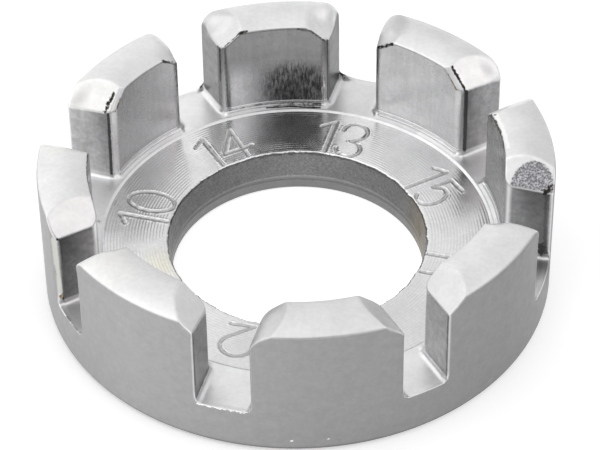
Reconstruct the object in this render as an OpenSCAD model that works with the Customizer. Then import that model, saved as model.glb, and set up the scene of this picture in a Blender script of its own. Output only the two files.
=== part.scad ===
// Round spoke wrench: a flat ring with eight posts that leave eight nipple slots between them.
// One forged piece of steel. Millimetres, +Z up, origin at the centre of the bottom face.

/* [Ring] */
// Outside diameter of the ring and of the posts
outer_d = 42; // [38:0.5:60]
// Diameter of the land of the punched bore
bore_d = 21; // [14:0.5:26]
// Height of the slot floors above the bottom face
floor_h = 4; // [3:0.1:6]
// Rounding of the lower outer edge
heel_r = 0.7; // [0.3:0.05:1.2]
// Height of the straight land at the bottom of the bore
land_h = 1.25; // [0.8:0.05:2]
// Rounding of the bore's lower edge
land_edge_r = 0.2; // [0.1:0.05:0.4]
// How much the torn part of the bore opens up, on the radius
bore_flare = 0.2; // [0.05:0.05:0.5]
// Rounding of the bore's upper edge
rim_r = 0.2; // [0.1:0.05:0.4]

/* [Turned face] */
// Width of the ledge between the turned face, which carries the gauge numbers, and the posts
ledge_w = 0.8; // [0.5:0.05:1.5]
// Depth of the turned face below the slot floors
face_depth = 0.12; // [0.05:0.01:0.3]

/* [Posts] */
// Height over the crowned tops
overall_h = 12.8; // [9:0.1:20]
// Thickness of the posts, from the inner face to the outer face
post_t = 4.1; // [3.4:0.1:4.8]
// Height of the crown at the middle of the tops over a flat top
crown_rise = 0.5; // [0.3:0.05:1]
// Distance of the crown's highest line from the middle of the post, towards the bore
crest_shift = 0.13; // [0:0.01:0.3]
// Rounding of the upright edges at the inner face
inner_edge_r = 0.8; // [0.3:0.05:1]
// Rounding of the upright edges at the outer face
outer_edge_r = 0.4; // [0.3:0.05:1]
// Fillet along the inner foot of each post
inner_foot_r = 0.65; // [0.3:0.05:0.65]
// Fillet in the lower corners of the slots
foot_r = 0.55; // [0.3:0.05:0.8]

/* [Corner facets] */
// How far below the crown a full facet meets the slot wall
facet_drop = 1.8; // [0.8:0.05:2.5]
// The same on the corners that are ground lightly
light_facet_drop = 1.2; // [0.8:0.05:2]
// Slope of the facets
facet_angle = 40; // [30:1:50]

/* [Slots] */
// Width of the slot marked 10
slot_10_w = 5.6; // [3:0.05:6.5]
// Width of the slot marked 11
slot_11_w = 5.4; // [3:0.05:6.5]
// Width of the slot marked 12
slot_12_w = 4.45; // [3:0.05:6.5]
// Width of the slot marked 13
slot_13_w = 4.15; // [3:0.05:6.5]
// Width of the slot marked 14
slot_14_w = 4; // [3:0.05:6.5]
// Width of the slot marked 15
slot_15_w = 3.8; // [3:0.05:6.5]
// Width of the unmarked slot between 10 and 12
slot_left_w = 4.2; // [3:0.05:6.5]
// Width of the unmarked slot between 11 and 12
slot_right_w = 3.9; // [3:0.05:6.5]

/* [Hidden] */
$fn = 96;

// Slot widths anticlockwise from +X, an eighth of a turn apart
slot_ws = [slot_11_w, slot_15_w, slot_13_w, slot_14_w, slot_10_w, slot_left_w, slot_12_w, slot_right_w];
// The side of each slot that has a light facet: -1 clockwise, 1 anticlockwise, 0 neither
light_sides = [-1, -1, 0, 0, 1, 1, 0, 0];
slot_n = len(slot_ws);
slot_pitch = 360 / slot_n;

// Overrun of the cuts past what they cut
over = 1;
// How far the sections of the foot fillets reach into the walls and the floor
fillet_bite = 0.1;

outer_r = outer_d / 2;
bore_r = bore_d / 2;
post_in_r = outer_r - post_t;
face_r = post_in_r - ledge_w;
face_h = floor_h - face_depth;
post_mid_r = outer_r - post_t / 2;
bore_top_r = bore_r + bore_flare;

// The crown is an arc over the post's thickness
crown_r = (pow(post_t / 2, 2) + pow(crown_rise, 2)) / (2 * crown_rise);
// Side of the blocks that cut the facets
facet_block = post_t + facet_drop;
// The feet start inside the ring, above its rounded lower edge
foot_base_h = (heel_r + floor_h) / 2;
// A fillet's arc meets the wall and the floor at a slight angle, because its centre lies this
// share of the fillet's reach away from both
fillet_centre_share = 1.3;
// The inner fillet ends on the ledge
inner_fillet_r = min(inner_foot_r, ledge_w - 1.5 * fillet_bite);
foot_top_h = floor_h + max(foot_r, inner_fillet_r) + fillet_bite;

// Half profile of the ring, from the bore to the outer wall
module ring_profile() {
    difference() {
        translate([bore_r, 0]) square([outer_r - bore_r, floor_h]);
        // turned face
        translate([0, face_h]) square([face_r, face_depth + over]);
        // torn part of the bore
        polygon([
            [bore_r, land_h],
            [bore_top_r, face_h],
            [bore_top_r, face_h + over],
            [0, face_h + over],
            [0, land_h]
        ]);
        // rounded edges
        translate([outer_r, 0]) edge_spandrel(heel_r, [-1, 1]);
        translate([bore_r, 0]) edge_spandrel(land_edge_r, [1, 1]);
        translate([bore_top_r, face_h]) edge_spandrel(rim_r, [1, -1]);
    }
}

// What a rounding of radius r takes off a square corner at the origin; way points into the metal
module edge_spandrel(r, way) {
    scale_x = way[0];
    scale_y = way[1];
    difference() {
        polygon([
            [-over * scale_x, -over * scale_y],
            [r * scale_x, -over * scale_y],
            [r * scale_x, r * scale_y],
            [-over * scale_x, r * scale_y]
        ]);
        translate([r * scale_x, r * scale_y]) circle(r);
    }
}

// Half profile of the band that the posts are cut from, above their feet, with its crown
module post_profile() {
    intersection() {
        translate([post_in_r, foot_top_h]) square([post_t, overall_h]);
        union() {
            translate([post_mid_r - crest_shift, overall_h - crown_r]) circle(crown_r);
            translate([post_in_r, foot_top_h]) square([post_t, overall_h - crown_r - foot_top_h]);
        }
    }
}

module slot_frame(i) {
    rotate(i * slot_pitch) children();
}

// Centre of an upright edge rounding of radius r beside slot i, on the side that way gives
function edge_centre(w, r, from_axis, way) = [
    sqrt(pow(from_axis, 2) - pow(w / 2 + r, 2)),
    way * (w / 2 + r)
];

// Plan of what the rounding takes off an upright edge; ends points from the metal to the open side
module upright_spandrel(c, r, ends) {
    wall_n = [0, -sign(c[1])];
    face_n = c / norm(c) * ends;
    reach = r + over;
    difference() {
        polygon([c, c + wall_n * reach, c + (wall_n + face_n) * reach, c + face_n * reach]);
        translate(c) circle(r);
    }
}

module slot_plan(w) {
    translate([post_in_r - over, -w / 2]) square([post_t + 2 * over, w]);
    for (way = [-1, 1]) {
        upright_spandrel(edge_centre(w, inner_edge_r, post_in_r + inner_edge_r, way), inner_edge_r, -1);
        upright_spandrel(edge_centre(w, outer_edge_r, outer_r - outer_edge_r, way), outer_edge_r, 1);
    }
}

module posts_plan() {
    difference() {
        circle(outer_r);
        circle(post_in_r);
        for (i = [0 : slot_n - 1]) slot_frame(i) slot_plan(slot_ws[i]);
    }
}

// Ground facets on both sides of slot i
module facet_cuts(i) {
    for (way = [-1, 1]) {
        drop = light_sides[i] == way ? light_facet_drop : facet_drop;
        translate([post_in_r - over, way * slot_ws[i] / 2, overall_h - drop])
            rotate([way * facet_angle, 0, 0])
                translate([0, way > 0 ? -over : -facet_block, 0])
                    cube([post_t + 2 * over, facet_block + over, facet_block]);
    }
}

module posts() {
    difference() {
        intersection() {
            rotate_extrude() post_profile();
            linear_extrude(overall_h) posts_plan();
        }
        for (i = [0 : slot_n - 1]) slot_frame(i) facet_cuts(i);
    }
}

// Section of a foot fillet of reach r: x runs away from the wall and y up from the floor
module fillet_section(r) {
    centre = r * fillet_centre_share;
    difference() {
        translate([-fillet_bite, -fillet_bite]) square(r + 2 * fillet_bite);
        translate([centre, centre]) circle(norm([centre, centre - r]));
    }
}

// Section of a slot with filleted lower corners, which reaches down into the ring
module slot_section(w) {
    difference() {
        translate([-w / 2, foot_base_h - over]) square([w, foot_top_h - foot_base_h + 2 * over]);
        translate([-w / 2, floor_h]) fillet_section(foot_r);
        translate([w / 2, floor_h]) mirror([1, 0]) fillet_section(foot_r);
    }
}

// Half profile of the posts' feet, with the fillet along the inner faces
module foot_profile() {
    translate([post_in_r, foot_base_h]) square([post_t, foot_top_h - foot_base_h]);
    translate([post_in_r, floor_h]) mirror([1, 0]) fillet_section(inner_fillet_r);
}

module feet() {
    difference() {
        rotate_extrude() foot_profile();
        for (i = [0 : slot_n - 1]) slot_frame(i)
            translate([post_in_r - 2 * inner_fillet_r, 0, 0]) rotate([90, 0, 90])
                linear_extrude(post_t + 2 * inner_fillet_r + over) slot_section(slot_ws[i]);
    }
}

module wrench_body() {
    color([0.72, 0.72, 0.74]) {
        rotate_extrude() ring_profile();
        feet();
        posts();
    }
}

wrench_body();
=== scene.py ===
import math

import bpy
import numpy as np
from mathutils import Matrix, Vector


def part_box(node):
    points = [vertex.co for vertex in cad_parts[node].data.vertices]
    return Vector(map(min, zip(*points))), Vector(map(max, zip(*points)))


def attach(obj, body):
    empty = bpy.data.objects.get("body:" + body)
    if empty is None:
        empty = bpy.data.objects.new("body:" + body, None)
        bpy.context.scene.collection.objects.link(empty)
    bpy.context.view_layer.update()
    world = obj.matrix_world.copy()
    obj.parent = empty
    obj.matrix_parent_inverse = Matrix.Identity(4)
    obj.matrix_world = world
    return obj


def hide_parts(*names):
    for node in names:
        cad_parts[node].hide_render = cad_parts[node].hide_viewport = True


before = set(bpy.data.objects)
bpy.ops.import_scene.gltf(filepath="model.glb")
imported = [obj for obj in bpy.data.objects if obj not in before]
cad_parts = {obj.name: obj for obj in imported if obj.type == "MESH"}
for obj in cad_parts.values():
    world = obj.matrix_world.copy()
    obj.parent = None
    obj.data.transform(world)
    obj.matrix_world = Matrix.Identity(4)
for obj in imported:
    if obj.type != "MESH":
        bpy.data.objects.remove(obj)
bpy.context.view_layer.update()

# Sizes are in millimetres and angles in degrees, and a pair is from and to. The body is a distance
# field that is meshed on a polar grid, and the turned face with its gauge numbers is a ring of its own
# that lies in the body.
MM = 0.001
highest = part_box("wrench_body")[1]
OUTER_R = round(highest.x / MM, 1)
HEIGHT = round(highest.z / MM, 1)

# Ring
BORE_R = 10.5
LAND_H = 1.25
LAND_EDGE_R = 0.2
LAND_OPEN_R = 10.53
TORN_R = 10.7
FLOOR_H = 4.0
# The rounding of the lower edge grows over a span of the radius, from a share of itself
HEEL_R = 0.7
HEEL_FROM_R, HEEL_TO_R = 15, 19
HEEL_LEAST = 0.03

# Turned face, whose ring fills a recess of the body
FACE_R = 16.1
FACE_H = 3.88
RECESS_DEPTH = 0.22
FACE_STEP_W = 0.24
FACE_OUT_R = FACE_R + 0.15
FACE_BOTTOM = FACE_H - RECESS_DEPTH - 0.1
# Points round the face, up its torn wall and over its rim, and across each groove
FACE_ANGLES, WALL_ROWS, RIM_ROWS, GROOVE_ROWS = 880, 17, 4, 4
GROOVE_PITCH = 0.26
GROOVE_DEPTH = 0.009
# The grooves are shallower on the right
SHALLOW_X, SHALLOW_SHARE = (3, 11), 0.3
RIM_R = 0.26
# The torn wall's lumps: height, stretch along the axes, length and seed
TORN_LUMPS = [(0.014, (1, 1, 1), 0.4, 5), (0.03, (1, 1, 0.35), 1.2, 6)]
JAG_DEPTH = 0.035
# Strokes of the numbers, and the burr along them
STROKE_R = 0.18
STROKE_DEPTH = 0.08
BURR_H, BURR_W, BURR_GAP = 0.02, 0.06, 0.08

# Posts, anticlockwise from the slot marked 11
POST_IN_R = 16.9
SLOT_PITCH = 45
SLOT_WIDTHS = np.array([5.4, 3.8, 4.15, 4.0, 5.6, 4.2, 4.45, 3.9])
SLOT_COUNT = len(SLOT_WIDTHS)
CROWN_R = 4.9
CROWN_AT_R = 18.82
INNER_EDGE_R = 0.75
OUTER_EDGE_R = 0.34
# The outer upright edges are rounded in full between these heights, and a little beyond them
EDGE_FOOT_Z, EDGE_TOP_Z = (3.9, 5.0), (10.5, 11.8)
EDGE_LEAST_R, EDGE_TOP_EXTRA = 0.06, 0.16
# The one at the front of the post beside the slot marked 10 is worn wider
WIDE_EDGE_AT, WIDE_EDGE_REACH, WIDE_EDGE_EXTRA = 219, 5, 0.35
TOP_EDGE_R = 0.13
CREASE_R = 0.1
FOOT_R = 0.5
FOOT_STEP_H = 4.57
FOOT_STEP = 0.06
LEDGE_IN_R = 16.42
LEDGE_RISE = 0.16
LEDGE_END_W = (-0.15, 0.25)
FOOT_GROOVE_R = 0.09
FOOT_GROOVE_END_W = (0.1, 0.6)
LIP_RISE = 0.08
LIP_AT_R = (OUTER_R - 0.6, OUTER_R - 0.1)
# Burrs on the floors' outer edge: where, how high and how wide
BURRS = [(95.3, 0.45, 0.9), (129.9, 0.3, 0.5)]

# Ground corner facets: how far below the crown each meets its slot wall, and its slope.
# The first row is the post's end beside the slot of its own number, the second its other end.
FACET_DROPS = np.array([
    [1.8, 1.8, 1.8, 1.8, 1.37, 1.02, 1.8, 1.8],
    [1.43, 1.8, 1.8, 1.8, 1.8, 1.8, 1.8, 1.2],
])
FACET_SLOPE = math.radians(40)
# How far the facet's outer end is rolled over instead of flat, for the same ends, the rolls' radius as
# a share of the drop, and where on the radius the flat part ends
ROLLS = np.array([
    [0.0, 0.8, 0.9, 0.9, 0.2, 0.6, 0.5, 0.0],
    [0.2, 0.9, 0.9, 0.35, 0.0, 0.0, 0.0, 0.7],
])
ROLL_SHARE = 0.8
ROLL_REACH = 2.2
ROLL_START_R = np.array([
    [18.2, 19.3, 18.2, 16.4, 16.8, 16.8, 16.2, 18.2],
    [16.8, 16.2, 18.2, 19.3, 18.2, 18.2, 18.2, 16.8],
])
# How much shallower a facet gets for each millimetre outward, for the same ends
FACET_TILTS = np.array([
    [0.0, 0.0, 0.0, 0.0, 0.0, 0.0, 0.0, 0.0],
    [0.0, 0.0, 0.0, 0.0, 0.0, 0.2, 0.0, 0.0],
])
# Width of the bevel where a facet meets the inner face, for the same ends
BEVEL_WIDTHS = np.array([
    [0.0, 0.36, 0.0, 0.0, 0.0, 0.0, 0.0, 0.0],
    [0.0, 0.16, 0.0, 0.3, 0.0, 0.0, 0.0, 0.0],
])
BEVEL_EDGE_R = 0.04

# How light or dark each inner face, outer wall, top and slot floor, and each slot wall and facet for
# the same ends as above, is painted: painted shade and painted light, for how the light falls on each
INNER_SHADES = np.array([0.46, 1.07, 0.91, 0.9, 0.95, 0.95, 0.95, 0.95])
OUTER_SHADES = np.array([0.8, 0.95, 1.0, 1.0, 0.88, 1.0, 0.8, 0.69])
TOP_SHADES = np.array([0.97, 0.98, 1.0, 1.0, 1.02, 1.0, 0.96, 1.02])
FLOOR_SHADES = np.array([1.0, 1.13, 0.93, 1.08, 1.13, 1.0, 1.0, 1.0])
WALL_SHADES = np.array([
    [0.87, 0.78, 0.2, 0.9, 0.9, 0.9, 0.9, 0.83],
    [0.9, 0.9, 0.53, 1.1, 0.61, 0.59, 0.9, 0.9],
])
FACET_SHADES = np.array([
    [1.0, 1.06, 1.06, 1.0, 1.0, 1.0, 0.78, 0.87],
    [1.0, 0.77, 0.85, 1.04, 1.0, 1.08, 1.05, 1.0],
])
# Painted shade: how much darker each inner face gets towards its top, and between which heights
INNER_FADES = np.array([0.0, 0.0, 0.5, 0.0, 0.0, 0.0, 0.0, 0.0])
INNER_FADE_Z = (7, 10)
# Painted shade: how much darker the rounded lower edge is, as if it reflected the floor's contact shadow
HEEL_FADE = 0.5
# Painted shade on the bore's wall: the angle where it is strongest, and how strong it is there
BORE_FADES = [(197, 0.45), (10, 0.35)]
# The same painted shade for the turned face
FACE_FADE_AT, FACE_FADE = -50, 0.1

# Lines of the polar grid: from, to and step, finer where the surface turns
ANGLE_STEP = 0.4
RADIUS_LINES = [
    (10.2, 11.2, 0.1), (11.2, 15.7, 0.75), (15.7, 17.1, 0.08), (17.1, 20.3, 0.2), (20.3, 21.3, 0.09),
]
HEIGHT_LINES = [
    (-0.3, 0.9, 0.1), (0.9, 1.5, 0.1), (1.5, 3.4, 0.38), (3.4, 4.8, 0.08), (4.8, 10.4, 0.35),
    (10.4, 13.1, 0.1),
]
BODY_TRIANGLES = 190_000


def smooth_step(x, low, high):
    """Smooth rise from 0 at low to 1 at high."""
    share = np.clip((x - low) / (high - low), 0, 1)
    return share * share * (3 - 2 * share)


def polar(points):
    """Radius and angle of points about the bore's axis."""
    radius = np.hypot(points[:, 0], points[:, 1])
    return radius, np.degrees(np.arctan2(points[:, 1], points[:, 0])) % 360


def round_and(a, b, r):
    """Field of what two solids share, with the edge between them rounded."""
    return np.minimum(-r, np.maximum(a, b)) + np.hypot(np.maximum(r + a, 0), np.maximum(r + b, 0))


def fillet_or(a, b, r):
    """Field of two solids together, with a fillet between them."""
    return np.maximum(r, np.minimum(a, b)) - np.hypot(np.maximum(r - a, 0), np.maximum(r - b, 0))


def waves(points, length, seed, count=16):
    """Smooth random waves of about that length through space, between about -1 and 1."""
    draw = np.random.default_rng(seed)
    directions = draw.normal(size=(count, 3))
    directions /= np.linalg.norm(directions, axis=1)[:, None]
    steps = 2 * np.pi / (length * draw.uniform(0.7, 1.5, count))
    shifts = draw.uniform(0, 2 * np.pi, count)
    total = np.zeros(len(points))
    for direction, step, shift in zip(directions, steps, shifts):
        total += np.sin(points @ direction * step + shift)
    return total / math.sqrt(count)


def post_fields(radius, angle, z):
    """Fields of the nearest post's slot walls, inner face, crown, two facets and their bevels."""
    post = np.floor(angle / SLOT_PITCH).astype(int) % SLOT_COUNT
    from_first = np.radians(angle % SLOT_PITCH)
    inner = POST_IN_R - radius - FOOT_STEP * (z < FOOT_STEP_H)
    crown = np.hypot(radius - CROWN_AT_R, np.maximum(z - HEIGHT + CROWN_R, 0)) - CROWN_R
    walls, facets, bevels = [], [], []
    for end, turn in enumerate((from_first, math.radians(SLOT_PITCH) - from_first)):
        wall = SLOT_WIDTHS[(post + end) % SLOT_COUNT] / 2 - radius * np.sin(turn)
        drop = FACET_DROPS[end][post] - FACET_TILTS[end][post] * (radius - CROWN_AT_R)
        walls.append(wall)
        flat = (z - HEIGHT + drop) * math.cos(FACET_SLOPE) + wall * math.sin(FACET_SLOPE)
        start = ROLL_START_R[end][post]
        rolled = ROLLS[end][post] * smooth_step(radius, start, start + ROLL_REACH)
        facets.append(flat + rolled * (round_and(wall, crown, ROLL_SHARE * drop) - flat))
        width = BEVEL_WIDTHS[end][post]
        bevels.append(np.where(width > 0, (facets[-1] + inner + width) * math.sqrt(0.5), -1))
    return np.maximum(*walls), inner, crown, np.maximum(*facets), np.maximum(*bevels)


def body_field(radius, angle, z):
    """Signed distance to the body's surface, negative inside."""
    wall, inner, crown, facet, bevel = post_fields(radius, angle, z)
    top = round_and(crown, facet, CREASE_R)
    post = round_and(round_and(wall, inner, INNER_EDGE_R), top, TOP_EDGE_R)
    post = round_and(post, bevel, BEVEL_EDGE_R)
    ledge = np.clip((radius - LEDGE_IN_R) / (POST_IN_R - LEDGE_IN_R), 0, 1)
    ledge = ledge * smooth_step(-wall, *LEDGE_END_W)
    lip = LIP_RISE
    for at, rise, reach in BURRS:
        apart = np.radians((angle - at + 180) % 360 - 180) * radius
        lip = lip + rise * np.exp(-(apart / reach) ** 2)
    lip = lip * smooth_step(radius, *LIP_AT_R)
    floor = z - FLOOR_H - LEDGE_RISE * ledge - lip
    step = (z - FACE_H) - (radius - FACE_R) * (FLOOR_H - FACE_H) / FACE_STEP_W
    floor = np.maximum(floor, step * FACE_STEP_W / math.hypot(FACE_STEP_W, FLOOR_H - FACE_H))
    floor = np.maximum(floor, np.minimum(z - FACE_H + RECESS_DEPTH, FACE_R - radius))
    foot_r = FOOT_R * np.clip(0.5 + (wall - inner) / INNER_EDGE_R, 0.1, 1)
    upper = fillet_or(floor, post, foot_r)
    groove = np.hypot(radius - POST_IN_R + FOOT_STEP, z - FLOOR_H - LEDGE_RISE)
    groove = FOOT_GROOVE_R * smooth_step(-wall, *FOOT_GROOVE_END_W) - groove
    upper = np.maximum(upper, groove)
    edge_r = OUTER_EDGE_R + WIDE_EDGE_EXTRA * (np.abs(angle - WIDE_EDGE_AT) < WIDE_EDGE_REACH)
    edge_r = edge_r * smooth_step(z, *EDGE_FOOT_Z) * (1 - smooth_step(z, *EDGE_TOP_Z))
    edge_r = edge_r + EDGE_LEAST_R + EDGE_TOP_EXTRA * smooth_step(z, *EDGE_TOP_Z)
    body = round_and(upper, radius - OUTER_R, edge_r)
    heel = np.clip((radius - HEEL_FROM_R) / (HEEL_TO_R - HEEL_FROM_R), HEEL_LEAST, 1)
    body = round_and(body, -z, HEEL_R * heel)
    bore_r = np.where(z < LAND_H, BORE_R, TORN_R + RIM_R)
    return round_and(body, bore_r - radius, LAND_EDGE_R)


def field_at(points):
    """The body's field at points."""
    return body_field(*polar(points), points[:, 2])


def slope_at(points, reach=0.02):
    """Gradient of the body's field."""
    slope = np.empty_like(points)
    for axis in range(3):
        step = np.zeros(3)
        step[axis] = reach
        slope[:, axis] = (field_at(points + step) - field_at(points - step)) / (2 * reach)
    return slope


def lines(spans):
    """Grid lines over spans of from, to and step."""
    marks = [np.arange(start, end - step / 2, step) for start, end, step in spans]
    return np.append(np.concatenate(marks), spans[-1][1])


def body_mesh():
    """Vertices and outward quads of the body by surface nets on a polar grid."""
    angles = np.arange(0, 360, ANGLE_STEP)
    radii = lines(RADIUS_LINES)
    heights = lines(HEIGHT_LINES)
    shape = (len(angles), len(radii), len(heights))
    field = body_field(radii[None, :, None], angles[:, None, None] + np.zeros(shape), heights[None, None, :])
    inside = field < 0
    total = np.zeros(shape + (3,))
    count = np.zeros(shape)
    quads = []

    def cut(axis):
        """Grid edges along an axis that the surface crosses: their lower ends, shares and sides."""
        ahead = np.roll(field, -1, axis)
        crossed = inside != (ahead < 0)
        if axis > 0:
            crossed[(slice(None),) * axis + (-1,)] = False
        at = np.argwhere(crossed)
        here = field[tuple(at.T)]
        return at, here / (here - ahead[tuple(at.T)]), inside[tuple(at.T)]

    def between(marks, at, share):
        """Places past grid lines, by a share of the way to the next line."""
        return marks[at] + share * (marks[np.minimum(at + 1, len(marks) - 1)] - marks[at])

    for axis in range(3):
        at, share, starts_inside = cut(axis)
        across = [a for a in range(3) if a != axis]
        shares = [share if a == axis else 0 for a in range(3)]
        corners = []
        for back in ((1, 1), (0, 1), (0, 0), (1, 0)):
            cell = at.copy()
            cell[:, across[0]] -= back[0]
            cell[:, across[1]] -= back[1]
            turn = at[:, 0] - cell[:, 0]
            cell[:, 0] %= shape[0]
            spot = np.stack([
                turn + shares[0],
                between(radii, at[:, 1], shares[1]),
                between(heights, at[:, 2], shares[2]),
            ], 1)
            flat = np.ravel_multi_index(tuple(cell.T), shape)
            for part in range(3):
                total[..., part] += np.bincount(flat, spot[:, part], count.size).reshape(shape)
            count += np.bincount(flat, minlength=count.size).reshape(shape)
            corners.append(flat)
        quad = np.stack(corners, 1)
        flip = starts_inside if axis in (0, 2) else ~starts_inside
        quad[flip] = quad[flip][:, ::-1]
        quads.append(quad)

    used = np.flatnonzero(count)
    spots = total.reshape(-1, 3)[used] / count.ravel()[used][:, None]
    turn = np.radians((np.unravel_index(used, shape)[0] + spots[:, 0]) * ANGLE_STEP)
    points = np.stack([spots[:, 1] * np.cos(turn), spots[:, 1] * np.sin(turn), spots[:, 2]], 1)
    number = np.zeros(count.size, int)
    number[used] = np.arange(len(used))
    return points, number[np.concatenate(quads)]


def settle(points, rounds=3):
    """Moves points onto the body's surface."""
    for _ in range(rounds):
        slope = slope_at(points)
        size = np.maximum((slope ** 2).sum(1), 0.2)
        move = field_at(points) / size
        points = points - slope * np.clip(move, -0.1, 0.1)[:, None]
    return points


def new_object(name, points, faces):
    """A mesh object from millimetres and faces of equal size."""
    mesh = bpy.data.meshes.new(name)
    mesh.vertices.add(len(points))
    mesh.vertices.foreach_set("co", (points * MM).astype(np.float32).ravel())
    mesh.loops.add(faces.size)
    mesh.loops.foreach_set("vertex_index", faces.astype(np.int32).ravel())
    mesh.polygons.add(len(faces))
    mesh.polygons.foreach_set("loop_start", np.arange(0, faces.size, faces.shape[1], dtype=np.int32))
    mesh.update(calc_edges=True)
    mesh.validate()
    mesh.shade_smooth()
    thing = bpy.data.objects.new(name, mesh)
    bpy.context.scene.collection.objects.link(thing)
    return thing


def mesh_points(mesh):
    """A mesh's vertices in millimetres."""
    points = np.empty(len(mesh.vertices) * 3)
    mesh.vertices.foreach_get("co", points)
    return points.reshape(-1, 3) / MM


def make_body():
    points, quads = body_mesh()
    body = new_object("wrench_body_surface", settle(points), quads)
    thin = body.modifiers.new("thin_out", "DECIMATE")
    thin.ratio = min(1, BODY_TRIANGLES / (2 * len(quads)))
    slim = bpy.data.meshes.new_from_object(body.evaluated_get(bpy.context.evaluated_depsgraph_get()))
    body.modifiers.remove(thin)
    body.data = slim
    points = settle(mesh_points(slim), 1)
    slim.vertices.foreach_set("co", (points * MM).astype(np.float32).ravel())
    normals = slope_at(points)
    normals /= np.linalg.norm(normals, axis=1)[:, None]
    slim.shade_smooth()
    slim.normals_split_custom_set_from_vertices(normals)
    set_zones(slim, body_zones(points, normals))
    return body


def body_zones(points, normals):
    """How far each point belongs to the ground tops, outer wall, inner faces, slot walls and bore, and the
    painted shade and light that the material multiplies the colour with there.
    """
    radius, angle = polar(points)
    _, _, crown, facet, _ = post_fields(radius, angle, points[:, 2])
    top = np.maximum(crown, facet)
    outward = (points[:, 0] * normals[:, 0] + points[:, 1] * normals[:, 1]) / radius
    above = smooth_step(points[:, 2], FLOOR_H + 0.3, FLOOR_H + 0.6)
    heel = 1 - smooth_step(points[:, 2], HEEL_R + 0.1, HEEL_R + 0.4)
    heel *= smooth_step(radius, OUTER_R - 2, OUTER_R - 1)
    zones = {
        "top": smooth_step(top, -0.12, -0.02) * above,
        "outside": np.maximum(
            smooth_step(outward, 0.5, 0.9) * smooth_step(radius, OUTER_R - 1, OUTER_R - 0.5), heel),
        "inside": smooth_step(-outward, 0.5, 0.9) * above,
        "slot": smooth_step(1 - np.abs(outward) - np.abs(normals[:, 2]), 0.3, 0.8) * above,
        "bore": smooth_step(-radius, -BORE_R - 0.6, -BORE_R - 0.3),
    }
    post = np.floor(angle / SLOT_PITCH).astype(int) % SLOT_COUNT
    end = (angle % SLOT_PITCH > SLOT_PITCH / 2).astype(int)
    facet_share = zones["top"] * smooth_step(facet - crown, -0.05, 0.02)
    slot = np.round(angle / SLOT_PITCH).astype(int) % SLOT_COUNT
    flat_share = smooth_step(normals[:, 2], 0.8, 0.95) * (1 - above)
    inner_shade = INNER_SHADES[post] * (1 - INNER_FADES[post] * smooth_step(points[:, 2], *INNER_FADE_Z))
    middles = SLOT_PITCH * (np.arange(SLOT_COUNT) + 0.5)
    outer_shade = np.interp(angle, middles, OUTER_SHADES, period=360)
    # Painted shade and light: the factor on the colour from the tables above, and painted shade on the
    # rounded lower edge
    shade = (
        1 + zones["inside"] * (inner_shade - 1) + zones["slot"] * (WALL_SHADES[end, post] - 1)
        + zones["outside"] * (outer_shade - 1) + zones["top"] * (TOP_SHADES[post] - 1)
        + facet_share * (FACET_SHADES[end, post] - TOP_SHADES[post])
        + flat_share * (FLOOR_SHADES[slot] - 1))
    zones["shade"] = shade * (1 - HEEL_FADE * zones["outside"] * smooth_step(-points[:, 2], -HEEL_R, -0.3))
    return zones


def set_zones(mesh, zones):
    """Keeps the zones as attributes that the material reads."""
    for name, values in zones.items():
        layer = mesh.attributes.new("zone_" + name, "FLOAT", "POINT")
        layer.data.foreach_set("value", values.astype(np.float32))


def arc(centre, sizes, start, end, steps=14):
    """Points of an ellipse's arc."""
    turns = np.radians(np.linspace(start, end, steps))
    return [(centre[0] + sizes[0] * math.cos(t), centre[1] + sizes[1] * math.sin(t)) for t in turns]


def one(x, top=14.95, foot=11.0):
    """The stroke of the digit 1."""
    return [[(x - 1.0, top - 0.75), (x, top), (x + 0.04, foot)]]


# Strokes of the gauge numbers, by the angle of their slot: x to the right and y outward from the
# middle of the wrench
NUMBERS = {
    0: one(-0.8) + one(1.45),
    45: one(-0.8) + [[(1.88, 14.83), (0.27, 14.72), (0.3, 12.95), (0.65, 13.3)]
                     + arc((1.15, 12.25), (1.0, 1.4), 115, -140)],
    90: one(-0.8) + [arc((1.15, 14.1), (1.08, 1.05), 180, -75) + [(1.05, 12.9)]
                     + arc((1.1, 11.85), (1.06, 1.0), 60, -175)],
    135: one(-1.15, 14.85, 11.05) + [[(1.31, 11.05), (1.5, 14.8), (-0.37, 12.13), (2.26, 12.15)]],
    180: one(-1.23, 15.09, 10.95) + [arc((0.87, 12.97), (1.17, 2.0), 0, 360, 30)],
    270: one(-1.1) + [arc((1.05, 13.75), (1.35, 1.2), 172, -35) + [(0.25, 11.35), (2.2, 11.45)]],
}


def stroke_distance(points):
    """Distance from points on the turned face to the nearest number stroke's middle line."""
    nearest = np.full(len(points), 9.0)
    for place, strokes in NUMBERS.items():
        turn = math.radians(place)
        up = points @ [math.cos(turn), math.sin(turn)]
        right = points @ [math.sin(turn), -math.cos(turn)]
        near = np.flatnonzero((np.abs(right) < 4) & (up > 9))
        x, y = right[near], up[near]
        for stroke in strokes:
            for (x0, y0), (x1, y1) in zip(stroke[:-1], stroke[1:]):
                dx, dy = x1 - x0, y1 - y0
                share = np.clip(((x - x0) * dx + (y - y0) * dy) / (dx * dx + dy * dy), 0, 1)
                gap = np.hypot(x - x0 - share * dx, y - y0 - share * dy)
                nearest[near] = np.minimum(nearest[near], gap)
    return nearest


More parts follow.
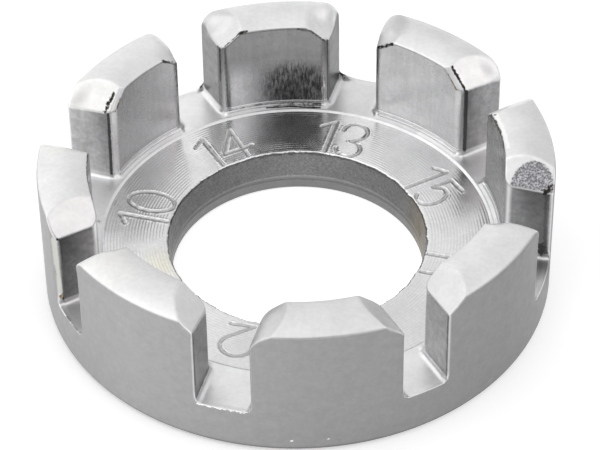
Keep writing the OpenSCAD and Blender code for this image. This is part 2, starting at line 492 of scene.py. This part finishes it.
def face_section():
    """Radii and heights across the turned face's ring, and which of them are torn and which are top."""
    wall_z = np.linspace(LAND_H - 0.35, FACE_H - RIM_R, WALL_ROWS)
    flare = (TORN_R - LAND_OPEN_R) * (1 - np.clip((wall_z - LAND_H) / (FACE_H - LAND_H), 0, 1))
    rim = np.radians(np.linspace(0, 90, RIM_ROWS + 2)[1:-1])
    top_r = np.arange(TORN_R + RIM_R, FACE_R + 0.01, GROOVE_PITCH / GROOVE_ROWS)
    section_r = np.concatenate([
        [TORN_R + 0.5, TORN_R + RIM_R + 0.05], TORN_R - flare,
        TORN_R + RIM_R * (1 - np.cos(rim)), top_r, [FACE_OUT_R, FACE_OUT_R],
    ])
    section_z = np.concatenate([
        [FACE_BOTTOM, LAND_H - 0.4], wall_z,
        FACE_H - RIM_R * (1 - np.sin(rim)), np.full(len(top_r), FACE_H), [FACE_H, FACE_BOTTOM],
    ])
    first_top = 2 + WALL_ROWS + RIM_ROWS
    return section_r, section_z, slice(1, first_top + 3), slice(first_top, first_top + len(top_r))


def face_relief(points, gap):
    """Height of the grooves, numbers and burrs at points of the face, gap from the numbers' strokes."""
    grooves = -GROOVE_DEPTH * (0.5 + 0.5 * np.sin(2 * np.pi * (polar(points)[0] / GROOVE_PITCH)))
    grooves *= 1 + 0.5 * waves(points, 2.5, 3)
    grooves *= 1 - SHALLOW_SHARE * smooth_step(points[:, 0], *SHALLOW_X)
    carved = -STROKE_DEPTH * (1 - smooth_step(gap, STROKE_R - 0.12, STROKE_R + 0.03))
    carved *= 1 + 0.3 * waves(points, 0.5, 7)
    burr = BURR_H * np.exp(-((gap - STROKE_R - BURR_GAP) / BURR_W) ** 2)
    burr *= 0.8 + 0.8 * waves(points, 0.4, 4)
    return grooves * smooth_step(gap, STROKE_R - 0.1, STROKE_R) + carved + burr


def torn_relief(points):
    """How far the torn wall and its jagged rim stand back at points."""
    rough = sum(
        height * waves(points * stretch, length, seed, 24) for height, stretch, length, seed in TORN_LUMPS)
    rough *= smooth_step(points[:, 2], LAND_H - 0.2, LAND_H + 0.7)
    jagged = np.abs(waves(points * [1, 1, 0], 0.55, 8, 24))
    return rough - JAG_DEPTH * jagged * smooth_step(points[:, 2], FACE_H - 0.5, FACE_H - 0.1)


def make_turned_face():
    """The turned face with its grooves and numbers, its burred rim and the torn wall of the bore."""
    turns = np.linspace(0, 2 * np.pi, FACE_ANGLES, endpoint=False)
    section_r, section_z, torn, top = face_section()
    radius = np.repeat(section_r[None, :], FACE_ANGLES, 0)
    z = np.repeat(section_z[None, :], FACE_ANGLES, 0)

    def spots():
        return np.stack([radius * np.cos(turns)[:, None], radius * np.sin(turns)[:, None], z], 2)

    smooth = spots()
    face = smooth[:, top].reshape(-1, 3)
    gap = stroke_distance(face[:, :2])
    z[:, top] += face_relief(face, gap).reshape(FACE_ANGLES, -1)
    radius[:, torn] += torn_relief(smooth[:, torn].reshape(-1, 3)).reshape(FACE_ANGLES, -1)

    across = len(section_r)
    here = np.arange(FACE_ANGLES * across).reshape(FACE_ANGLES, across)
    ahead = np.roll(here, -1, 0)
    quads = np.stack([here, np.roll(here, -1, 1), np.roll(ahead, -1, 1), ahead], 2).reshape(-1, 4)
    face = new_object("turned_face", spots().reshape(-1, 3), quads)

    bore_share = np.zeros(radius.shape)
    bore_share[:, :top.start - 2] = 1
    stroke_share = np.zeros(radius.shape)
    stroke = 1 - smooth_step(gap, STROKE_R - 0.12, STROKE_R + 0.02)
    stroke_share[:, top] = stroke.reshape(FACE_ANGLES, -1)
    # Painted shade on the turned face and on the bore's wall, darkest towards the given angles
    face_shade = 1 - FACE_FADE * smooth_step(np.cos(turns - math.radians(FACE_FADE_AT)), 0.4, 1)
    bore_shade = np.ones(FACE_ANGLES)
    for at, fade in BORE_FADES:
        bore_shade -= fade * np.maximum(np.cos(turns - math.radians(at)), 0)
    shade = face_shade[:, None] + bore_share * (bore_shade - face_shade)[:, None]
    set_zones(face.data, {"bore": bore_share.ravel(), "turned": 1 - bore_share.ravel(),
                          "stroke": stroke_share.ravel(), "shade": shade.ravel()})
    return face


class Nodes:
    """Short ways to add nodes to a material or world."""

    def __init__(self, tree):
        self.tree = tree

    def add(self, kind, settings=(), inputs=()):
        node = self.tree.nodes.new("ShaderNode" + kind)
        for name, value in dict(settings).items():
            setattr(node, name, value)
        for name, value in dict(inputs).items():
            if isinstance(value, bpy.types.NodeSocket):
                self.tree.links.new(value, node.inputs[name])
            else:
                node.inputs[name].default_value = value
        return node

    def math(self, operation, a, b=0.0, c=0.0):
        return self.add("Math", {"operation": operation}, {0: a, 1: b, 2: c}).outputs[0]

    def ramp(self, value, low, high, out_low=0.0, out_high=1.0):
        node = self.add("MapRange", {"interpolation_type": "SMOOTHSTEP"}, {
            "Value": value, "From Min": low, "From Max": high, "To Min": out_low, "To Max": out_high})
        return node.outputs[0]

    def mix(self, share, a, b):
        """Colour b over colour a by a share."""
        node = self.add("Mix", {"data_type": "RGBA"}, {"Factor": share})
        for name, value in (("A", a), ("B", b)):
            socket = next(i for i in node.inputs if i.name == name and i.type == "RGBA")
            if isinstance(value, bpy.types.NodeSocket):
                self.tree.links.new(value, socket)
            else:
                socket.default_value = (*value, 1)
        return next(o for o in node.outputs if o.type == "RGBA")

    def colour(self, value):
        """One colour as an output."""
        return self.mix(0.0, value, value)

    def blend(self, share, a, b):
        """Number b over number a by a share."""
        return self.add("Mix", {}, {0: share, 2: a, 3: b}).outputs[0]

    def vector(self, operation, a, b=(0.0, 0.0, 0.0), output=0):
        return self.add("VectorMath", {"operation": operation}, {0: a, 1: b}).outputs[output]

    def scaled(self, vector, factor):
        return self.add("VectorMath", {"operation": "SCALE"}, {0: vector, "Scale": factor}).outputs[0]

    def zone(self, name):
        return self.add("Attribute", {"attribute_name": "zone_" + name}).outputs["Fac"]

    def noise(self, place, size, detail=2.0, roughness=0.5):
        """Noise with features of about that size."""
        node = self.add("TexNoise", {}, {"Vector": place, "Scale": 1 / size, "Detail": detail,
                                         "Roughness": roughness})
        return node.outputs["Fac"]

    def from_line(self, place, start, end):
        """Distance from the line between two points."""
        along = Vector(end) - Vector(start)
        offset = self.vector("SUBTRACT", place, start)
        share = self.math("DIVIDE", self.vector("DOT_PRODUCT", offset, along, "Value"), along.length_squared)
        share = self.math("MINIMUM", self.math("MAXIMUM", share, 0.0), 1.0)
        return self.vector("DISTANCE", offset, self.scaled(along, share), "Value")


# Base colour and roughness of the plated steel, and of its zones. The zones' colours are partly their
# finish and partly painted shade: the outer wall, inner faces, slot walls and bore are darker copies.
REST_FINISH = ((0.875, 0.875, 0.88), 0.38)
ZONE_FINISH_AND_SHADE = {
    "inside": ((0.5, 0.5, 0.505), 0.26),
    "slot": ((0.42, 0.42, 0.425), 0.3),
    "outside": ((0.42, 0.42, 0.424), 0.5),
    "turned": ((0.84, 0.84, 0.845), 0.22),
    "stroke": ((0.6, 0.6, 0.6), 0.4),
    "bore": ((0.21, 0.21, 0.21), 0.4),
    "top": ((0.84, 0.84, 0.84), 0.46),
}
# Unevenness of the roughness: how large, part of the noise and what it adds
ROUGH_CLOUDS = (0.9, (0.25, 0.75), (-0.03, 0.04))
# Strokes by colour and in the order of painting: from, to, half width and how ragged the edge is, in
# notches of about this width. Most are burrs, scars and dark marks at the ground edges and feet; the
# ones marked below are painted highlights and painted shade.
RAGGED_W = 0.28
SCARS_AND_PAINTED_LIGHT = {
    (0.94, 0.94, 0.93): [
        # painted highlight along a post's inner top edge
        ((14.13, 9.9, 12.52), (15.37, 7.83, 12.52), 0.16, 0.4),
        ((15.37, 7.83, 12.52), (16.31, 5.62, 12.52), 0.16, 0.4),
        # two small pale dots on an outer wall
        ((5.33, -20.31, 1.26), (5.4, -20.31, 1.3), 0.09, 0.3),
        ((8.08, -19.38, 1.31), (8.15, -19.38, 1.35), 0.08, 0.3),
        # painted highlight along a slot floor's outer lip
        ((-2.1, -20.93, 4.05), (1.9, -20.93, 4.05), 0.09, 0.6),
    ],
    (0.6, 0.6, 0.56): [
        # painted highlight along the worn rounded outer edge at the front of the post beside the slot marked
        # 10
        ((-16.3, -12.94, 10.8), (-16.25, -12.94, 8.2), 0.24, 0.15),
        ((-16.2, -12.96, 8.2), (-16.05, -13.0, 5.2), 0.17, 0.15),
    ],
    (0.42, 0.42, 0.41): [
        # painted shade that dims the highlight on a slot floor's outer lip
        ((-15.2, -14.5, 3.95), (-13.6, -16.0, 3.95), 0.16, 0.4),
    ],
    (0.24, 0.24, 0.24): [
        ((20.15, 2.7, 10.8), (20.3, 2.7, 4.6), 0.13, 0.4),
        # painted shade in a rounded inner corner
        ((-2.18, 17.14, 11.0), (-2.16, 17.14, 4.5), 0.09, 0.15),
        # painted shade along the fillet at the foot of a slot wall
        ((-2.2, -17.2, 4.5), (-2.2, -20.6, 4.45), 0.13, 0.25),
        # painted shade beside the painted highlight on that rounded outer edge
        ((-15.71, -12.74, 10.7), (-15.8, -12.8, 4.3), 0.04, 0.15),
        # painted shade along the foot of an inner face, in three strokes
        ((-10.2, 13.45, 4.25), (-8.0, 14.8, 4.3), 0.07, 0.3),
        ((-8.0, 14.8, 4.3), (-5.25, 15.95, 4.2), 0.14, 0.35),
        ((-5.25, 15.95, 4.2), (-2.75, 16.6, 4.18), 0.14, 0.35),
    ],
    (0.13, 0.13, 0.13): [
        ((-9.15, 14.35, 12.35), (-10.3, 13.6, 11.3), 0.05, 0.3),
        ((-4.54, 16.3, 12.32), (-3.5, 16.58, 12.16), 0.07, 0.4),
        ((-3.5, 16.58, 12.16), (-2.44, 16.85, 11.16), 0.07, 0.3),
        ((-14.3, 9.15, 12.3), (-13.65, 10.5, 11.1), 0.13, 0.3),
        ((14.05, 9.39, 12.15), (14.35, 9.45, 12.5), 0.07, 0.3),
        ((14.05, 9.39, 12.15), (13.92, 9.5, 11.5), 0.1, 0.3),
        ((14.5, 8.85, 12.4), (15.07, 7.8, 12.4), 0.06, 0.3),
        ((15.07, 7.8, 12.4), (15.6, 6.75, 12.4), 0.07, 0.4),
        ((15.6, 6.75, 12.4), (16.05, 5.5, 12.35), 0.05, 0.25),
        ((19.9, 2.7, 5.2), (20.1, 2.7, 4.5), 0.3, 0.8),
        # painted shade in a rounded inner corner
        ((-17.12, 2.85, 10.9), (-17.2, 2.84, 4.4), 0.12, 0.15),
        # painted shade in a rounded inner corner
        ((-10.8, 13.68, 10.9), (-10.86, 13.72, 7.4), 0.12, 0.2),
        ((13.86, 9.7, 12.22), (15.08, 7.68, 12.25), 0.06, 0.25),
        ((15.08, 7.68, 12.25), (16.0, 5.5, 12.25), 0.06, 0.25),
        # painted shade in a rounded inner corner
        ((-11.0, 13.83, 10.9), (-11.0, 13.83, 4.7), 0.15, 0.08),
        ((-16.45, -3.8, 12.34), (-15.55, -6.6, 12.34), 0.12, 0.2),
        ((-15.55, -6.6, 12.34), (-14.0, -9.45, 12.34), 0.12, 0.2),
        # painted shade in a rounded inner corner
        ((10.9, 13.62, 10.9), (10.93, 13.64, 4.5), 0.17, 0.15),
    ],
    (0.04, 0.035, 0.03): [
        ((-9.15, 14.35, 12.35), (-8.65, 14.68, 12.5), 0.14, 0.5),
        ((2.3, 17.0, 11.25), (3.75, 16.55, 12.25), 0.13, 0.4),
        ((9.37, 14.62, 12.5), (10.8, 13.62, 11.08), 0.12, 0.45),
        ((-17.0, 4.15, 12.1), (-17.42, 2.95, 11.05), 0.15, 0.6),
        ((20.4, 3.2, 11.35), (20.05, 2.8, 11.05), 0.2, 1.1),
        ((13.95, 9.6, 12.2), (14.1, 9.35, 11.9), 0.12, 0.4),
        ((-16.5, -12.72, 11.0), (-16.0, -12.87, 10.9), 0.1, 0.4),
        ((-16.4, -13.0, 7.6), (-16.12, -13.1, 4.9), 0.05, 0.25),
        # painted shade along the foot of an inner face, in two strokes
        ((-7.1, 15.05, 4.05), (-5.2, 15.78, 4.05), 0.07, 0.1),
        ((-5.2, 15.78, 4.05), (-2.65, 16.33, 4.03), 0.08, 0.1),
        ((-2.08, 20.8, 4.8), (-1.8, 20.85, 4.1), 0.3, 0.6),
        ((-13.3, 16.2, 5.1), (-13.4, 16.1, 4.2), 0.22, 0.5),
        ((-15.95, -12.9, 4.6), (-15.9, -12.85, 4.1), 0.09, 0.3),
    ],
    (0.26, 0.18, 0.08): [
        ((9.2, 14.17, 11.9), (10.05, 13.62, 10.9), 0.05, 0.3),
        ((-16.45, 4.1, 11.75), (-16.65, 3.3, 10.95), 0.06, 0.3),
        ((-16.1, -12.98, 4.8), (-16.05, -12.95, 4.25), 0.1, 0.3),
    ],
}
# Faint stains, and painted shade where marked: zone or "all", middle, reach and what they multiply the
# colour with
TINTS = [
    ("turned", (-9.6, -6.3, 3.9), 3.0, (1.02, 1.0, 0.88)),
    ("bore", (9.3, 5.0, 2.4), 4.2, (1.2, 1.0, 0.72)),
    ("all", (12.6, 11.4, 4.0), 1.5, (0.95, 0.95, 0.96)),
    # painted shade on the front of the turned face
    ("turned", (4.0, -13.0, 3.9), 9.0, (0.9, 0.9, 0.9)),
    # painted shade on the upper part of an inner face
    ("inside", (4.0, 16.4, 11.0), 3.6, (0.88, 0.88, 0.87)),
    # painted shade on the middle of an inner face
    ("inside", (8.6, 14.6, 6.5), 4.5, (0.79, 0.79, 0.79)),
    ("all", (20.6, 1.6, 4.0), 2.2, (0.5, 0.5, 0.49)),
    ("inside", (14.9, 8.2, 12.3), 2.6, (0.95, 1.0, 0.85)),
    ("top", (-19.0, 0.0, 12.5), 7.0, (1.01, 1.0, 0.97)),
    ("top", (-10.5, -16.0, 12.5), 4.0, (1.005, 1.0, 0.98)),
]
# Cloudiness of the colour: the clouds' size, detail and roughness, then what part of the noise is
# used and what the colour is multiplied by over it. "cast" is everywhere, and "grain" lies over all.
CLOUDS = {
    "cast": (2.5, 3.0, 0.55, (0.2, 0.8), (0.95, 1.05)),
    "outside": (0.8, 3.0, 0.6, (0.25, 0.75), (0.97, 1.03)),
    "slot": (0.7, 4.0, 0.65, (0.3, 0.7), (0.86, 1.12)),
    "grain": (0.35, 2.0, 0.5, (0.3, 0.7), (0.975, 1.025)),
    "torn": (0.16, 3.0, 0.7, (0.3, 0.7), (0.74, 1.2)),
}
# Upright streaks of the inner faces and slot walls: stretch, width, part of the noise and factors
STREAKS = ((1, 1, 0.08), 0.3, (0.3, 0.7), (0.965, 1.035))
# The bore's smooth land is lighter, most of all along its upper edge, where a painted highlight runs
LAND_LIGHT, LAND_EDGE_LIGHT, LAND_EDGE_AT, LAND_EDGE_W = 1.06, 1.4, LAND_H + 0.08, (0.14, 0.03)
# Painted shade on the flanks of the numbers: the darkest share of the colour there
FLANK_DARK = 0.75
# Brushed patch at the foot of the inner face beside the slot marked 13: middle, half sizes and how far
# from the middle it is full, then the scuffs' stretch, width, part of the noise and factors
BRUSHED_MIDDLE, BRUSHED_SIZE, BRUSHED_FULL = (-4.8, 16.2, 6.1), (3.8, 3.8, 3.3), 0.5
SCUFFS = ((1, 1, 0.16), 0.13, (0.38, 0.66), (0.27, 1.22))
# Painted light: a lighter patch next to it, and how much lighter
BRIGHT_MIDDLE, BRIGHT_SIZE, BRIGHT_FULL, BRIGHT_GAIN = (-8.6, 14.6, 6.2), (2.6, 2.6, 3.0), 0.3, 1.22
# Pitted patch on the facet beside the slot marked 11: middle and half sizes in plan and its foot, its
# colour, shades and the part of the noise that they cover, then its roughness, the width of the pits
# and how ragged it ends
PIT_MIDDLE, PIT_SIZE, PIT_FOOT = (18.9, 2.85, 0.0), (1.75, 1.7, 1.0), 11.02
PIT_COLOUR, PIT_SHADES, PIT_PART = (1, 1, 1.05), (0.2, 0.64), (0.34, 0.7)
PIT_ROUGHNESS, PIT_W, PIT_RAGS = 0.55, 0.15, 0.12
# Finer relief than the shapes have. The turned face's grooves are fainter around a spot on the right.
GROOVE_BUMP, GROOVE_STRENGTHS = 0.009, (0.15, 0.35)
FAINT_MIDDLE, FAINT_REACH, FAINT_GAIN = (12.0, 5.0, 3.9), 12.0, 0.3
GRAIN_BUMP, GRAIN_STRENGTH, GRAIN_W = 0.02, 0.12, 0.3
TORN_BUMP, TORN_W = 0.06, 0.25


def shading(nodes, spot, place, height, ragged, zones):
    """What the plating's unevenness, the painted shade and the painted light multiply the colour with."""
    def clouds(name):
        size, detail, roughness, part, factors = CLOUDS[name]
        return nodes.ramp(nodes.noise(spot, size * MM, detail, roughness), *part, *factors)

    def brushed(stretch, width, part, factors, detail, roughness=0.5):
        noise = nodes.noise(nodes.vector("MULTIPLY", place, stretch), width, detail, roughness)
        return nodes.ramp(noise, *part, *factors)

    def patch(middle, size, full):
        """How far a point lies in a soft patch of the inner faces."""
        away = nodes.vector("DIVIDE", nodes.vector("SUBTRACT", place, middle), size)
        share = nodes.ramp(nodes.vector("LENGTH", away, output="Value"), 1.0, full)
        return nodes.math("MULTIPLY", share, zones["inside"])

    total = clouds("cast")
    for zone in ("outside", "slot"):
        total = nodes.blend(zones[zone], total, clouds(zone))
    upright = nodes.math("ADD", zones["inside"], zones["slot"])
    total = nodes.math("MULTIPLY", total, nodes.blend(upright, 1.0, brushed(*STREAKS, 2.0)))
    total = nodes.math("MULTIPLY", total, clouds("grain"))

    tear = nodes.ramp(nodes.math("ADD", height, nodes.math("MULTIPLY", ragged, 0.5)), LAND_H, LAND_H + 0.15)
    lit = nodes.math("ABSOLUTE", nodes.math("SUBTRACT", height, LAND_EDGE_AT))
    lit = nodes.ramp(lit, *LAND_EDGE_W, 1.0, LAND_EDGE_LIGHT)
    bore = nodes.math("MULTIPLY", nodes.blend(tear, LAND_LIGHT, clouds("torn")), lit)
    total = nodes.math("MULTIPLY", total, nodes.blend(zones["bore"], 1.0, bore))
    flank = nodes.math("MULTIPLY", zones["stroke"], nodes.math("SUBTRACT", 1.0, zones["stroke"]))
    total = nodes.math("MULTIPLY", total, nodes.ramp(flank, 0.1, 0.25, 1.0, FLANK_DARK))

    share = patch(BRUSHED_MIDDLE, BRUSHED_SIZE, BRUSHED_FULL)
    total = nodes.math("MULTIPLY", total, nodes.blend(share, 1.0, brushed(*SCUFFS, 3.0, 0.6)))
    share = patch(BRIGHT_MIDDLE, BRIGHT_SIZE, BRIGHT_FULL)
    total = nodes.math("MULTIPLY", total, nodes.blend(share, 1.0, BRIGHT_GAIN))
    return nodes.math("MULTIPLY", total, nodes.zone("shade"))


def relief(nodes, spot, place, zones, pitted):
    """The normal with the grooves, the plating's grain and the coarse torn and pitted parts."""
    radius = nodes.vector("LENGTH", nodes.vector("MULTIPLY", place, (1, 1, 0)), output="Value")
    lane = nodes.math("SINE", nodes.math("MULTIPLY", radius, -2 * math.pi / GROOVE_PITCH))
    faint = nodes.vector("DISTANCE", place, FAINT_MIDDLE, "Value")
    faint = nodes.ramp(faint, FAINT_REACH, FAINT_REACH / 2)
    depth = nodes.ramp(nodes.noise(spot, 1.5 * MM, 2.0), 0.3, 0.7, *GROOVE_STRENGTHS)
    depth = nodes.math("MULTIPLY", depth, nodes.blend(faint, 1.0, FAINT_GAIN))
    turned = nodes.math("MULTIPLY", nodes.math("SUBTRACT", zones["turned"], zones["stroke"]), depth)
    torn = nodes.math("MAXIMUM", nodes.math("MULTIPLY", pitted, 0.5), zones["bore"])
    bumps = [
        (turned, GROOVE_BUMP, lane),
        (GRAIN_STRENGTH, GRAIN_BUMP, nodes.noise(spot, GRAIN_W * MM, 2.0, 0.5)),
        (torn, TORN_BUMP, nodes.noise(spot, TORN_W * MM, 3.0, 0.6)),
    ]
    normal = None
    for strength, depth, height in bumps:
        bump = nodes.add("Bump", {}, {"Strength": strength, "Distance": depth * MM, "Height": height})
        if normal:
            nodes.tree.links.new(normal, bump.inputs["Normal"])
        normal = bump.outputs[0]
    return normal


def metal(name):
    """The plated steel. The shader has few live values at a time, because Cycles' space for them is
    limited: the strokes of one colour, scars and painted light alike, share one chain, and no node
    clamps its result."""
    material = bpy.data.materials.new(name)
    material.use_nodes = True
    links = material.node_tree.links
    nodes = Nodes(material.node_tree)
    shader = material.node_tree.nodes["Principled BSDF"]
    shader.inputs["Metallic"].default_value = 1
    spot = nodes.add("TexCoord").outputs["Object"]
    place = nodes.scaled(spot, 1 / MM)
    zones = {zone: nodes.zone(zone) for zone in ZONE_FINISH_AND_SHADE}

    colour, roughness = nodes.colour(REST_FINISH[0]), REST_FINISH[1]
    for zone, (zone_colour, zone_roughness) in ZONE_FINISH_AND_SHADE.items():
        colour = nodes.mix(zones[zone], colour, zone_colour)
        roughness = nodes.blend(zones[zone], roughness, zone_roughness)

    height = nodes.add("SeparateXYZ", {}, {0: place}).outputs["Z"]
    ragged = nodes.math("SUBTRACT", nodes.noise(spot, RAGGED_W * MM, 2.0, 0.7), 0.5)
    colour = nodes.scaled(colour, shading(nodes, spot, place, height, ragged, zones))
    for zone, middle, reach, tint in TINTS:
        share = nodes.ramp(nodes.vector("DISTANCE", place, middle, "Value"), reach, 0.0)
        share = nodes.math("MULTIPLY", share, zones.get(zone, 1.0))
        colour = nodes.vector("MULTIPLY", colour, nodes.mix(share, (1, 1, 1), tint))

    flat = nodes.vector("MULTIPLY", nodes.vector("SUBTRACT", place, PIT_MIDDLE), (1, 1, 0))
    reach = nodes.vector("LENGTH", nodes.vector("DIVIDE", flat, PIT_SIZE), output="Value")
    pits = nodes.noise(spot, PIT_W * MM, 2.0)
    pitted = nodes.ramp(nodes.math("ADD", reach, nodes.math("MULTIPLY", pits, PIT_RAGS)), 1.1, 1.02)
    pitted = nodes.math("MULTIPLY", pitted, nodes.ramp(height, PIT_FOOT, PIT_FOOT + 0.06))
    pit_colour = nodes.scaled(nodes.colour(PIT_COLOUR), nodes.ramp(pits, *PIT_PART, *PIT_SHADES))
    colour = nodes.mix(pitted, colour, pit_colour)

    for mark_colour, strokes in SCARS_AND_PAINTED_LIGHT.items():
        share = 0.0
        for start, end, half_width, rags in strokes:
            gap = nodes.math("MULTIPLY_ADD", ragged, rags, nodes.from_line(place, start, end))
            share = nodes.math("MAXIMUM", share, nodes.ramp(gap, half_width * 1.3, half_width * 0.7))
        colour = nodes.mix(share, colour, mark_colour)
    links.new(colour, shader.inputs["Base Color"])

    size, part, extra = ROUGH_CLOUDS
    uneven = nodes.ramp(nodes.noise(spot, size * MM, 2.0), *part, *extra)
    roughness = nodes.math("ADD", roughness, uneven)
    links.new(nodes.blend(pitted, roughness, PIT_ROUGHNESS), shader.inputs["Roughness"])
    links.new(relief(nodes, spot, place, zones, pitted), shader.inputs["Normal"])
    return material


# The studio: a pale floor that is darker to the right, in a white room with two soft boxes in front,
# a darker side behind on the right, and the dark gap between the boxes where a photographer stands.
# The floor's glow, which only looks and reflections see, keeps the background white.
FLOOR_SIZE = 3
FLOOR_GAP = 0.00002
FLOOR_TURN = 17
FLOOR_SPAN = (-0.035, 0.04)
FLOOR_COLOURS = ((0.95, 0.95, 0.95), (0.5, 0.5, 0.51))
FLOOR_LIFTS = (0.28, 0.67)
# The floor glows more inside the bore: painted light that lifts the ring's shadow there
BORE_LIT_R, BORE_LIFT = 0.0125, 0.24
ROOM_COLOUR = (0.84, 0.84, 0.84)
# Turn and rise of the middle, colour, and the angles within which it is full and past which it is gone
ROOM_PATCHES = {
    "left": (172, 25, (1.05, 1.05, 1.05), 15, 75),
    "right": (20, -4, (0.4, 0.4, 0.41), 10, 48),
    "right_back": (78, 28, (0.7, 0.7, 0.71), 8, 28),
    "box_left": (-142, 49, (1.5, 1.5, 1.5), 18, 42),
    "box_right": (-22, 40, (1.3, 1.3, 1.32), 16, 36),
    "warm_spot": (-12, 50, (1.42, 1.32, 1.31), 8, 20),
    "dark_gap": (-75, 41, (0.02, 0.02, 0.022), 15, 27),
}
# The camera at the photograph's place, in metres and degrees
CAMERA_PLACE = (0.05081106, -0.16936207, 0.16403453)
CAMERA_TURNS = (48.04191, 0.60194, 16.08005)
CAMERA_LENS, CAMERA_SENSOR = 172.6336, 36


def direction(turn, rise):
    """Unit vector at a turn from +X and a rise over the floor."""
    turn, rise = math.radians(turn), math.radians(rise)
    return (math.cos(turn) * math.cos(rise), math.sin(turn) * math.cos(rise), math.sin(rise))


def make_floor():
    bpy.ops.mesh.primitive_plane_add(size=FLOOR_SIZE, location=(0, 0, -FLOOR_GAP))
    floor = bpy.context.object
    floor.name = "floor"
    material = bpy.data.materials.new("floor")
    material.use_nodes = True
    shader = material.node_tree.nodes["Principled BSDF"]
    shader.inputs["Roughness"].default_value = 1
    shader.inputs["Specular IOR Level"].default_value = 0
    nodes = Nodes(material.node_tree)
    place = nodes.add("TexCoord").outputs["Object"]
    across = nodes.vector("DOT_PRODUCT", place, direction(FLOOR_TURN, 0), "Value")
    right = nodes.ramp(across, *FLOOR_SPAN)
    colour = nodes.mix(right, *FLOOR_COLOURS)
    material.node_tree.links.new(colour, shader.inputs["Base Color"])
    shader.inputs["Emission Color"].default_value = (1, 1, 1, 1)
    path = nodes.add("LightPath")
    shown = nodes.math("MAXIMUM", path.outputs["Is Camera Ray"], path.outputs["Is Glossy Ray"])
    shown = nodes.math("MAXIMUM", shown, path.outputs["Is Transmission Ray"])
    inside = nodes.ramp(nodes.vector("LENGTH", place, output="Value"), BORE_LIT_R, BORE_LIT_R * 0.8)
    lift = nodes.math("ADD", nodes.blend(right, *FLOOR_LIFTS), nodes.math("MULTIPLY", inside, BORE_LIFT))
    lift = nodes.math("MULTIPLY", shown, lift)
    material.node_tree.links.new(lift, shader.inputs["Emission Strength"])
    floor.data.materials.append(material)


def make_light():
    world = bpy.data.worlds.new("studio")
    bpy.context.scene.world = world
    world.use_nodes = True
    nodes = Nodes(world.node_tree)
    sight = nodes.add("TexCoord").outputs["Generated"]
    colour = ROOM_COLOUR
    for turn, rise, patch_colour, full, gone in ROOM_PATCHES.values():
        towards = nodes.vector("DOT_PRODUCT", sight, direction(turn, rise), "Value")
        span = [math.cos(math.radians(angle)) for angle in (gone, full)]
        share = nodes.ramp(towards, *span)
        colour = nodes.mix(share, colour, patch_colour)
    world.node_tree.links.new(colour, world.node_tree.nodes["Background"].inputs["Color"])


def make_camera():
    camera = bpy.data.cameras.new("camera")
    camera.sensor_width = CAMERA_SENSOR
    camera.lens = CAMERA_LENS
    camera.clip_start = 0.01
    place = bpy.data.objects.new("camera", camera)
    place.location = CAMERA_PLACE
    place.rotation_euler = [math.radians(angle) for angle in CAMERA_TURNS]
    bpy.context.scene.collection.objects.link(place)
    bpy.context.scene.camera = place


body = make_body()
steel = metal("plated_steel")
body.data.materials.append(steel)
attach(body, "root")
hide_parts("wrench_body")

face = make_turned_face()
face.data.materials.append(steel)
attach(face, "root")

make_floor()
make_light()
make_camera()
bpy.context.scene.view_settings.view_transform = "Standard"
